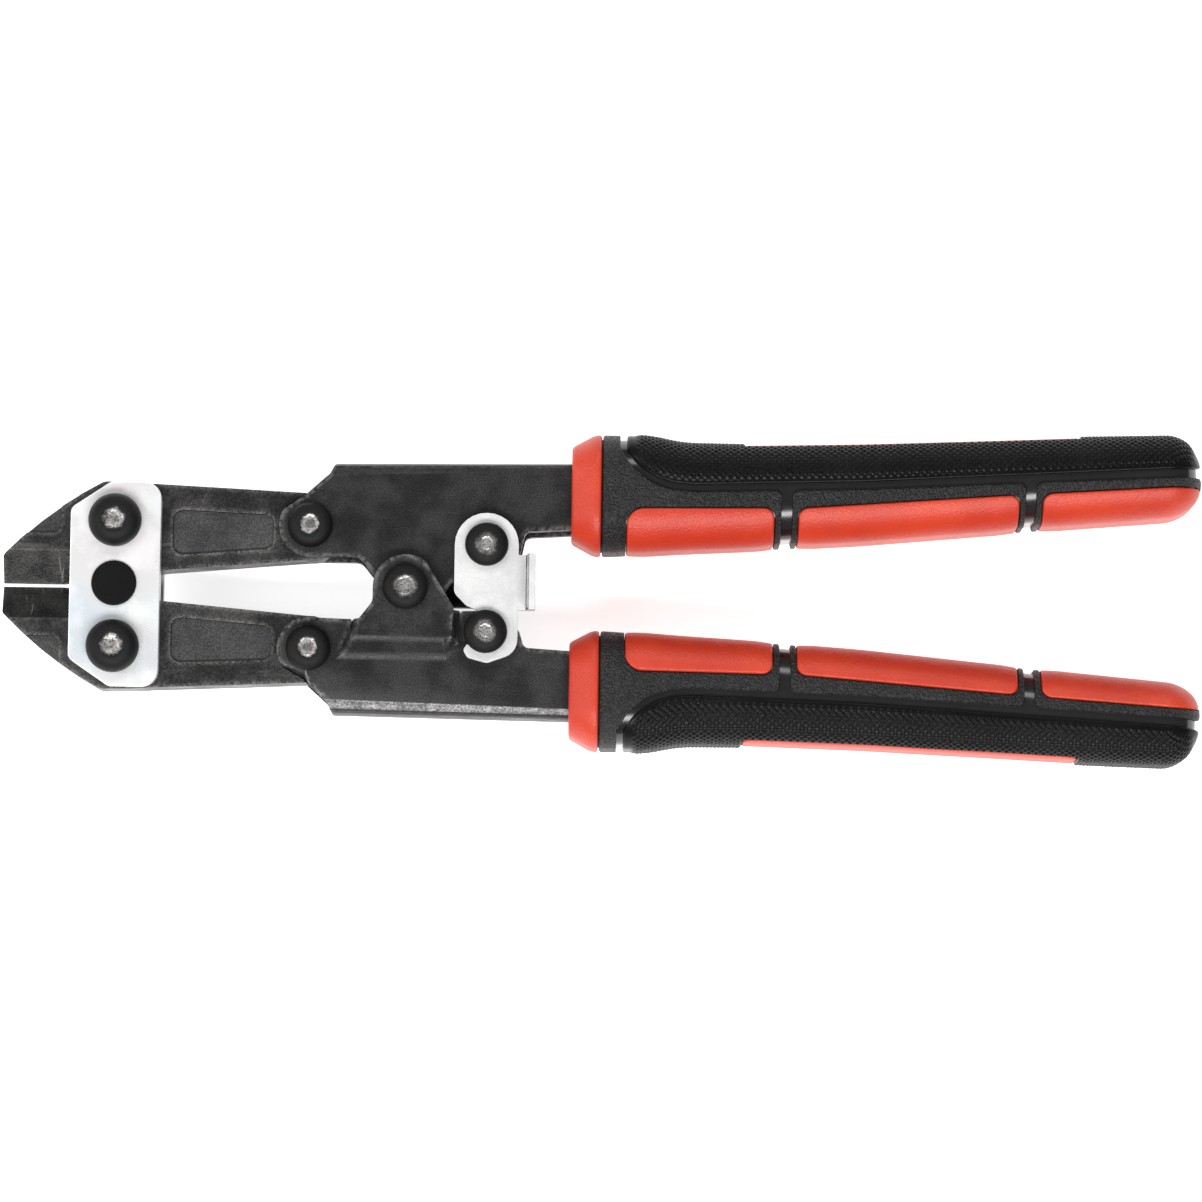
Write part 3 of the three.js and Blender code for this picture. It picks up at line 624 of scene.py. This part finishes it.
catchLook = {"shank": 1.9, "neck": 0.95, "neckFrom": 5.8, "neckTo": 8.0, "backFrom": 6.1}
low, high = (Vector(v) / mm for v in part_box("catch_pin"))
radius = (high.x - low.x) / 2
top, bottom = high.z - origin[2] / mm, low.z - origin[2] / mm
front = headProfile(catchLook["neckTo"], top - catchLook["neckTo"], radius, pinLooks["latch_pin"])
backFrom = catchLook["backFrom"]
back = headProfile(backFrom, -bottom - backFrom, radius, pinLooks["latch_pin"])
profile = [(r, -z) for r, z in reversed(back)] + [
    (catchLook["shank"], -backFrom), (catchLook["shank"], catchLook["neckFrom"]),
    (catchLook["neck"], catchLook["neckFrom"]), (catchLook["neck"], catchLook["neckTo"])] + front
finishPiece(latheObject("catch_pin_shape", middle("catch_pin"), profile),
            "lower_handle", "pin_steel", ["catch_pin"], "pin_steel_solid")

spacerProfile = [(2.6, -3.5), (2.9, -3.5), (3.1, -3.3), (3.1, 3.3), (2.9, 3.5), (2.6, 3.5)]
finishPiece(latheObject("centre_spacer_shape", centre, spacerProfile),
            "lower_handle", "spring_steel", ["centre_spacer"])

dotLook = {"from": 7.05, "rise": 0.35}
for side, face in (("front", 1), ("back", -1)):
    node = "plate_dot_" + side
    base, top = dotLook["from"], dotLook["from"] + dotLook["rise"]
    disc = [(0, base), (3.75, base), (3.95, base + 0.1), (3.8, top - 0.02), (3.6, top), (0, top)]
    if face < 0:
        disc = [(r, -z) for r, z in reversed(disc)]
    dot = latheObject(node + "_shape", middle(node), disc)
    finishPiece(dot, "head", "black_gloss", [node], "dot")
print("turned pieces made")


# Opening spring.

spring = {"coil": 4.1, "wire": 0.55, "turns": 3.25, "low": -2.6, "rise": 4.1, "perTurn": 28,
          "armHeight": 2.75}


def wireObject(name, points, body, node):
    curve = bpy.data.curves.new(name, "CURVE")
    curve.dimensions = "3D"
    curve.bevel_depth = spring["wire"] * mm
    curve.bevel_resolution = 3
    curve.use_fill_caps = True
    spline = curve.splines.new("POLY")
    spline.points.add(len(points) - 1)
    for item, point in zip(spline.points, toRow(points)):
        item.co = (*point, 1)
    obj = bpy.data.objects.new(name, curve)
    bpy.context.scene.collection.objects.link(obj)
    finishPiece(obj, body, "spring_steel", [node])


def springPieces():
    radius, low, high = spring["coil"], spring["low"], spring["armHeight"]
    steps = int(spring["turns"] * spring["perTurn"])
    coil = [[12, -16.2, low], [9, -13.4, low], [5, -8.6, low], [1.7, -4.6, low]]
    for k in range(1, steps + 1):
        a = math.radians(-90 + 360 / spring["perTurn"] * k)
        height = low + spring["rise"] * k / steps
        coil.append([radius * math.cos(a), radius * math.sin(a), height])
    wireObject("spring_coil_shape", coil, "lower_handle", "spring_coil")
    arm = []
    for k in range(14):
        a = math.radians(200 - 120 * k / 13)
        arm.append([radius * math.cos(a), radius * math.sin(a), high])
    arm += [[3.6, 5.3, high], [6, 8.2, high], [13, 16.4, high]]
    wireObject("spring_arm_shape", arm, "upper_handle", "spring_arm")


springPieces()


# Grips: bands laid on one rounded section that runs along each handle.

grip = {
    "end": 139.2, "endRound": 6.2, "corner": 7.0, "halfDepth": 10.5,
    # [x, outer edge, inner edge]
    "lines": [[28.8, 27.65, 6.75], [34, 27.65, 6.85], [42.5, 27.55, 7.3], [48, 26.3, 7.7],
              [60, 26.2, 8.35], [80, 26.75, 9.7], [100, 27.6, 11.6], [118, 28.4, 13.25],
              [134, 28.8, 14.7], [141, 28.85, 15.3]],
    # groove between the palm and finger sides: [x, palm edge, finger edge]
    "palmEdge": [[38.3, 25.2], [38.5, 24.9], [39.8, 22.7], [41.6, 20.9], [43.9, 19.5],
                 [46.7, 18.65], [50, 18.35], [80, 19.3], [134, 22.5], [143, 23.2]],
    "fingerEdge": [[37.2, 25.2], [37.6, 24.4], [38.9, 22.0], [40.95, 20.1], [43.3, 18.5],
                   [46.3, 17.6], [50, 17.25], [80, 18.1], [134, 21.0], [143, 21.4]],
    "frames": [[37.2, 65.5], [67.4, 108.2], [110, 141.7]],
    "pads": [[38.5, 64.3], [68.5, 107.1], [111.2, 141.4]],
    "padTop": [[30, 14.1], [64, 14.5], [70, 14.6], [104, 17.2], [134, 19.2], [150, 19.6]],
    "inlay": [59.3, 117.7], "inlayHalf": 6.0,
    "skirt": 1.15, "edge": 0.4, "gap": 0.14,
    # corner radii at the front and back end of each pad and of each frame round it
    "padRadii": [(3.0, 1.9), (1.8, 1.8), (1.8, 1.2)],
    "frameRadii": [(0.5, 1.2), (1.2, 1.2), (1.2, 0.4)],
    "palmSpan": [38.4, 141.2], "palmRadii": (0.5, 0.4),
    "inlayRadii": (2.0, 2.0), "inlaySkirt": 0.45,
    # [x, how far inside the skin] for the parts that run right round
    "collar": [[28.8, 2.6], [29.0, 2.2], [29.4, 1.9], [31.5, 0.75], [32.3, 0.3], [33.0, 0.06],
               [33.6, 0.0], [33.85, 0.1], [34.0, 0.4]],
    "ring": [[34.2, 0.45], [34.32, 0.12], [34.6, 0], [35.5, 0], [36.4, 0], [37.2, 0]],
    "coreInset": 0.8, "coreFrom": [33.0, 34.9], "coreMattShadeTo": 35,
}


def along(table, column=1):
    rows = np.array([[row[0], row[column]] for row in table], float)
    return lambda p: np.interp(p, rows[:, 0], rows[:, 1])


def softened(line, reach):
    # a straight-piece line with its corners eased over a length
    offsets = np.linspace(-1, 1, 9) * reach
    return lambda p: sum(line(np.asarray(p) + o) for o in offsets) / len(offsets)


outerLine = softened(along(grip["lines"], 1), 2.5)
innerLine = softened(along(grip["lines"], 2), 2.5)
palmEdge = softened(along(grip["palmEdge"]), 0.7)
fingerEdge = softened(along(grip["fingerEdge"]), 0.7)
padEdge = along(grip["padTop"])


def section(p):
    # p runs along the grip and then over its round end
    start = grip["end"] - grip["endRound"]
    turn = np.clip((p - start) / grip["endRound"], 0, math.pi / 2)
    x = np.where(p < start, p, start + grip["endRound"] * np.sin(turn))
    over = 1 - np.cos(turn)
    outer = outerLine(x) - 7 * over
    inner = innerLine(x) + 5 * over
    half = grip["halfDepth"] - 6 * over
    corner = np.minimum(grip["corner"], np.minimum((outer - inner) / 2 - 0.6, half - 0.6))
    return x, outer, inner, half, corner


def girth(p):
    x, outer, inner, half, corner = section(p)
    return 2 * (half - corner) + math.pi * corner + outer - inner - 2 * corner


def reachOf(p, y):
    # distance round the section from the inner middle to where it has this y
    x, outer, inner, half, corner = section(p)
    flat = half - corner
    onInner = flat + corner * np.arccos(np.clip(1 - (y - inner) / corner, 0, 1))
    onFace = flat + math.pi / 2 * corner + y - inner - corner
    onOuter = girth(p) - flat - corner * np.arccos(np.clip(1 - (outer - y) / corner, 0, 1))
    reach = np.where(y < inner + corner, onInner, np.where(y < outer - corner, onFace, onOuter))
    return np.where(y >= outer, girth(p) + 0 * y, reach)


def skin(p, s, fromOuter):
    # the point on the skin at p along the grip and s round it
    x, outer, inner, half, corner = section(p)
    total = girth(p)
    r = np.abs(s)
    r = np.where(fromOuter, total - r, r)
    flat = half - corner
    turnA = np.clip((r - flat) / corner, 0, math.pi / 2)
    turnB = np.clip((total - flat - r) / corner, 0, math.pi / 2)
    face = outer - inner - 2 * corner
    onFace = np.clip(r - flat - corner * math.pi / 2, 0, face)
    y = inner + corner * (1 - np.cos(turnA)) + onFace
    y = np.where(r > total / 2, outer - corner * (1 - np.cos(turnB)) - (face - onFace), y)
    z = np.where(r <= flat, r, flat + corner * np.sin(turnA))
    z = np.where(r > total / 2, flat + corner * np.sin(turnB), z)
    z = np.where(r >= total - flat, total - r, z)
    return np.stack([x, y, np.where(s < 0, -z, z)], axis=-1)


def lifted(p, s, height, fromOuter):
    # the skin point moved along its own normal
    step = 0.05
    base = skin(p, s, fromOuter)
    alongP = skin(p + step, s, fromOuter) - skin(p - step, s, fromOuter)
    alongS = skin(p, s + step, fromOuter) - skin(p, s - step, fromOuter)
    normal = np.cross(alongP, alongS)
    normal /= np.maximum(np.linalg.norm(normal, axis=-1, keepdims=True), 1e-9)
    return base + normal * (-1 if fromOuter else 1) * np.asarray(height)[..., None]


def patch(shape, inset, counts):
    # a grid of (p, s) over a band with rounded corners, drawn in by inset
    topCount, cornerCount, acrossCount = counts
    start, end = shape["span"]
    r0 = max(shape["radii"][0] - inset, 0.04)
    r1 = max(shape["radii"][1] - inset, 0.04)
    a = np.linspace(0, math.pi / 2, cornerCount)
    p = np.concatenate([
        start + inset + r0 * (1 - np.cos(a)),
        np.linspace(start + inset + r0, end - inset - r1, topCount + 2)[1:-1],
        end - inset - r1 * (1 - np.cos(a[::-1]))])
    drop = np.concatenate([r0 * (1 - np.sin(a)), np.zeros(topCount), r1 * (1 - np.sin(a[::-1]))])
    width = shape["width"](p) - inset - drop
    v = np.linspace(-1, 1, acrossCount)
    return np.stack([np.repeat(p[:, None], acrossCount, 1), width[:, None] * v[None, :]], axis=-1)


def border(grid):
    return np.concatenate([grid[:-1, 0], grid[-1, :-1], grid[:0:-1, -1], grid[0, :0:-1]])


def borderIndex(columns, rows):
    index = np.arange(columns * rows).reshape(columns, rows)
    return np.concatenate([index[:-1, 0], index[-1, :-1], index[:0:-1, -1], index[0, :0:-1]])


def gridQuads(columns, rows, start=0):
    index = np.arange(columns * rows).reshape(columns, rows) + start
    corners = [index[:-1, :-1], index[1:, :-1], index[1:, 1:], index[:-1, 1:]]
    return np.stack(corners, -1).reshape(-1, 4)


def coarseCells(columns, rows, strideA, strideB, rimIndex, start):
    # big cells under a fine grid: whole rim points at the border, sparse points inside
    a = sorted({*range(0, columns - 1, strideA), columns - 1})
    b = sorted({*range(0, rows - 1, strideB), rows - 1})
    inner = {(i, j): start + n for n, (i, j) in enumerate((i, j) for i in a[1:-1] for j in b[1:-1])}
    find = lambda i, j: inner.get((i, j), rimIndex.get((i, j)))
    cells = []
    for i0, i1 in zip(a, a[1:]):
        for j0, j1 in zip(b, b[1:]):
            ring = [(i, j0) for i in (range(i0, i1) if j0 == 0 else [i0])]
            ring += [(i1, j) for j in (range(j0, j1) if i1 == columns - 1 else [j0])]
            ring += [(i, j1) for i in (range(i1, i0, -1) if j1 == rows - 1 else [i1])]
            ring += [(i0, j) for j in (range(j1, j0, -1) if i0 == 0 else [j1])]
            cells.append([find(*at) for at in ring])
    return cells, list(inner)


def loopQuads(a, b):
    return np.stack([a, np.roll(a, -1), np.roll(b, -1), b], -1)


def edgeRows(edge):
    # (inset, height) pairs down a rounded edge, from the skin to the skirt
    turns = np.linspace(0, math.pi / 2, 5)
    return [(edge * (1 - math.sin(a)), -edge * (1 - math.cos(a))) for a in turns]


def padPiece(name, shape, counts, side, fromOuter=False, relief=None):
    edge, skirt = grip["edge"], shape.get("skirt", grip["skirt"])
    rows = edgeRows(edge)
    top = patch(shape, rows[0][0], counts)
    columns, across = top.shape[:2]
    height = np.zeros((columns, across)) if relief is None else relief(top[..., 0], top[..., 1])
    points = [lifted(top[..., 0], top[..., 1], height, fromOuter).reshape(-1, 3)]
    faces = [gridQuads(columns, across)]
    count = columns * across
    previous = borderIndex(columns, across)
    rim = border(height[..., None])[..., 0]
    for k, (inset, depth) in enumerate(rows[1:]):
        loop = border(patch(shape, inset, counts))
        fade = 1 - (k + 1) / (len(rows) - 1)
        points.append(lifted(loop[:, 0], loop[:, 1], depth + rim * fade, fromOuter))
        current = np.arange(len(loop)) + count
        faces.append(loopQuads(previous, current))
        previous = current
        count += len(loop)
    under = patch(shape, 0.0, counts)
    loop = border(under)
    points.append(lifted(loop[:, 0], loop[:, 1], np.full(len(loop), -skirt), fromOuter))
    faces.append(loopQuads(previous, np.arange(len(loop)) + count))
    order = [(int(n) // across, int(n) % across) for n in borderIndex(columns, across)]
    rimIndex = {at: count + n for n, at in enumerate(order)}
    cells, inner = coarseCells(columns, across, 8, 8, rimIndex, count + len(loop))
    i, j = np.array(inner).T
    points.append(lifted(under[i, j, 0], under[i, j, 1], np.full(len(i), -skirt), fromOuter))
    faces = [list(f) for block in faces for f in block] + cells
    return gripMesh(name, points, faces, side)


def framePiece(name, shape, window, counts, side, middleRows=6):
    # a closed band between an outline and the window inside it
    edge, skirt = grip["edge"], grip["skirt"]
    outline = border(patch(shape, 0.0, counts))
    hole = border(patch(window, -grip["gap"], counts))
    across = hole - outline
    length = np.linalg.norm(across, axis=1)
    small = np.minimum(edge, length * 0.4)
    if shape.get("squareStart"):
        small = np.where(outline[:, 0] < shape["span"][0] + 0.25, 0.01, small)
    rows = []
    for inset, depth in reversed(edgeRows(1.0)):
        rows.append((small * inset, small * depth))
    for k in range(1, middleRows + 1):
        rows.append((small + (length - 2 * small) * k / (middleRows + 1), 0 * small))
    for inset, depth in edgeRows(1.0):
        rows.append((length - small * inset, small * depth))
    underRows = max(3, middleRows // 5)
    for k in range(underRows + 1):
        rows.append((length * (1 - k / underRows), 0 * small - skirt))
    points, faces = [], []
    size = len(outline)
    for k, (inset, height) in enumerate(rows):
        at = outline + across * (inset / length)[:, None]
        points.append(lifted(at[:, 0], at[:, 1], height, False))
        nextRow = (k + 1) % len(rows)
        faces.append(loopQuads(np.arange(size) + k * size, np.arange(size) + nextRow * size))
    return gripMesh(name, points, np.concatenate(faces), side)


def loftPiece(name, stations, insets, count, side):
    # whole sections from end to end, closed by a flat face at each end
    turn = np.linspace(-1, 1, count, endpoint=False)
    points = []
    for p, inset in zip(stations, insets):
        level = np.full(count, float(p))
        s = turn * girth(level)
        points.append(lifted(level, s, np.full(count, -float(inset)), False))
    faces = [loopQuads(np.arange(count) + k * count, np.arange(count) + (k + 1) * count)
             for k in range(len(stations) - 1)]
    quads = [list(f) for f in np.concatenate(faces)]
    last = (len(stations) - 1) * count
    quads.append(list(range(count)))
    quads.append([last + j for j in reversed(range(count))])
    placed = np.concatenate(points)
    placed[:, 1] *= side
    return meshObject(name, toRow(placed), quads)


def gripMesh(name, points, faces, side):
    placed = np.concatenate([block.reshape(-1, 3) for block in points])
    placed[:, 1] *= side
    return meshObject(name, toRow(placed), faces)


palmScales = {"wide": 1.3, "tall": 1.2, "height": 0.32, "from": 39.6, "to": 139.0, "recess": 0.5,
              "roundness": 0.42, "fadeIn": 1.2, "fadeOut": 2.0, "margin": 0.6}


def palmRelief(width):
    # diamond rows of small pillow-shaped scales, and a recess for the inlay
    def relief(p, s):
        a = p / palmScales["wide"] + s / palmScales["tall"]
        b = p / palmScales["wide"] - s / palmScales["tall"]
        bump = np.abs(np.sin(math.pi * a) * np.sin(math.pi * b)) ** palmScales["roundness"]
        fadeIn = np.clip((p - palmScales["from"]) / palmScales["fadeIn"], 0, 1)
        fadeOut = np.clip((palmScales["to"] - p) / palmScales["fadeOut"], 0, 1)
        edgeFade = np.clip((width(p) - np.abs(s) - palmScales["margin"]) / 0.8, 0, 1)
        fade = fadeIn * fadeOut * edgeFade
        inside = np.minimum(np.minimum(p - grip["inlay"][0], grip["inlay"][1] - p),
                            grip["inlayHalf"] - np.abs(s)) + 0.3
        sunk = np.clip(inside / 0.25, 0, 1)
        return palmScales["height"] * bump * fade * (1 - sunk) - palmScales["recess"] * sunk
    return relief


padSwell = {"height": 0.22, "along": 4.0, "across": 3.5}


def padCrown(span, width):
    # pads swell slightly towards their middle
    def relief(p, s):
        front = np.clip((p - span[0]) / padSwell["along"], 0, 1)
        back = np.clip((span[1] - p) / padSwell["along"], 0, 1)
        u = front * back
        v = np.clip((width(p) - np.abs(s)) / padSwell["across"], 0, 1)
        return padSwell["height"] * np.sin(u * math.pi / 2) * np.sin(v * math.pi / 2)
    return relief


def makeGrip(side, label):
    body = handleBody[label]
    prefix = f"grip_{label}_"

    def settle(obj, slot, node, material=None):
        finishPiece(obj, body, slot, [prefix + node], material)

    collarX, collarIn = zip(*grip["collar"])
    collar = loftPiece(prefix + "collar_shape", collarX, collarIn, 128, side)
    settle(collar, "red_rubber", "collar")
    ringX, ringIn = zip(*grip["ring"])
    ring = loftPiece(prefix + "front_ring_shape", ringX, ringIn, 144, side)
    settle(ring, "black_rubber", "finger_frame_1")

    endTurn = np.linspace(0, math.pi / 2 - 0.02, 12)
    endX = grip["end"] - grip["endRound"] + grip["endRound"] * endTurn
    coreX = [*grip["coreFrom"], *np.arange(36, 133, 2.0), *endX]
    core = loftPiece(prefix + "core_shape", coreX, [grip["coreInset"]] * len(coreX), 144, side)
    settle(core, "black_gloss", "core")
    # painted shade: the core in the gap behind the collar is matte, darker rubber, so it stays dark
    # there
    paintFaces(core, lambda at, face: 1 if at[0] < grip["coreMattShadeTo"] else 0, "dot")

    padWidth = lambda p: reachOf(p, padEdge(p))
    frameWidth = lambda p: reachOf(p, fingerEdge(p))
    palmWidth = lambda p: girth(p) - reachOf(p, palmEdge(p))
    inlayWidth = lambda p: np.full(np.shape(p), grip["inlayHalf"])
    for k, (frameSpan, padSpan) in enumerate(zip(grip["frames"], grip["pads"])):
        counts = (int((padSpan[1] - padSpan[0]) * 4), 9, 49)
        pad = {"span": padSpan, "width": padWidth, "radii": grip["padRadii"][k]}
        rim = {"span": frameSpan, "width": frameWidth, "radii": grip["frameRadii"][k],
               "squareStart": k == 0}
        crown = padCrown(padSpan, padWidth)
        settle(padPiece(f"{prefix}finger_pad_{k + 1}_shape", pad, counts, side, relief=crown),
               "red_rubber", f"finger_pad_{k + 1}")
        settle(framePiece(f"{prefix}finger_frame_{k + 1}_shape", rim, pad, counts, side),
               "black_rubber", f"finger_frame_{k + 1}")

    palm = {"span": grip["palmSpan"], "width": palmWidth, "radii": grip["palmRadii"]}
    inlay = {"span": grip["inlay"], "width": inlayWidth, "radii": grip["inlayRadii"],
             "skirt": grip["inlaySkirt"]}
    scales = palmRelief(palmWidth)
    settle(padPiece(prefix + "palm_shell_shape", palm, (600, 9, 169), side, True, scales),
           "black_rubber", "palm_shell", "palm")
    settle(padPiece(prefix + "palm_inlay_shape", inlay, (200, 9, 41), side, True),
           "red_rubber", "palm_inlay")
    print(label, "grip made")


makeGrip(1, "upper")
makeGrip(-1, "lower")


# Floor, light and camera.

studio = {
    "floor": 1.6, "floorColor": (0.86, 0.86, 0.86, 1), "floorPale": (0.88, 0.88, 0.88, 1),
    "floorGlow": 0.75, "world": 0.22,
    # name: place, size and power of each soft light, all aimed at the middle
    "lights": {
        "highFront": {"at": (0.0, -0.58, 0.9), "size": (1.1, 0.3), "power": 14.0},
        "highBack": {"at": (0.0, 0.75, 0.85), "size": (1.1, 0.3), "power": 5.0},
        "fromLeft": {"at": (-0.85, 0.0, 0.6), "size": (0.3, 0.9), "power": 4.0},
    },
    "aimY": -1.22, "distance": 1100.0, "tilt": 5.5, "roll": 0.858, "focal": 187.3,
}


def makeStudio():
    half = studio["floor"] / 2
    corners = [(-half, -half, 0), (half, -half, 0), (half, half, 0), (-half, half, 0)]
    floor = meshObject("floor", corners, [[0, 1, 2, 3]], smooth=False)
    material, t, surface = newMaterial("paleFloor")
    texture = useGroup(t, grain, Fine=300.0, Coarse=6.0)
    tone = t.blend(texture.outputs["Cloud"], studio["floorColor"], studio["floorPale"])
    t.feed(surface, Base_Color=tone, Roughness=0.9, Specular_IOR_Level=0.1)
    t.feed(surface, Emission_Color=(1, 1, 1, 1), Emission_Strength=studio["floorGlow"])
    floor.data.materials.append(material)
    world = bpy.data.worlds.new("studioWorld")
    world.use_nodes = True
    backdrop = next(n for n in world.node_tree.nodes if n.type == "BACKGROUND")
    backdrop.inputs["Color"].default_value = (1, 1, 1, 1)
    backdrop.inputs["Strength"].default_value = studio["world"]
    bpy.context.scene.world = world
    for name, light in studio["lights"].items():
        data = bpy.data.lights.new(name, "AREA")
        data.shape = "RECTANGLE"
        data.size, data.size_y = light["size"]
        data.energy = light["power"]
        lamp = bpy.data.objects.new(name, data)
        lamp.location = light["at"]
        lamp.rotation_euler = (-Vector(light["at"])).to_track_quat("-Z", "Y").to_euler()
        bpy.context.scene.collection.objects.link(lamp)


def makeCamera():
    data = bpy.data.cameras.new("camera")
    data.lens, data.sensor_width = studio["focal"], 36.0
    data.clip_start, data.clip_end = 0.05, 20.0
    camera = bpy.data.objects.new("camera", data)
    tilt = math.radians(studio["tilt"])
    aim = Vector((0, studio["aimY"] * mm, origin[2]))
    back = Vector((0, -math.sin(tilt), math.cos(tilt))) * studio["distance"] * mm
    turn = Matrix.Rotation(tilt, 4, "X") @ Matrix.Rotation(math.radians(studio["roll"]), 4, "Z")
    camera.matrix_world = Matrix.Translation(aim + back) @ turn
    bpy.context.scene.collection.objects.link(camera)
    bpy.context.scene.camera = camera


makeStudio()
makeCamera()
bpy.context.scene.view_settings.view_transform = "Standard"
print("studio ready")
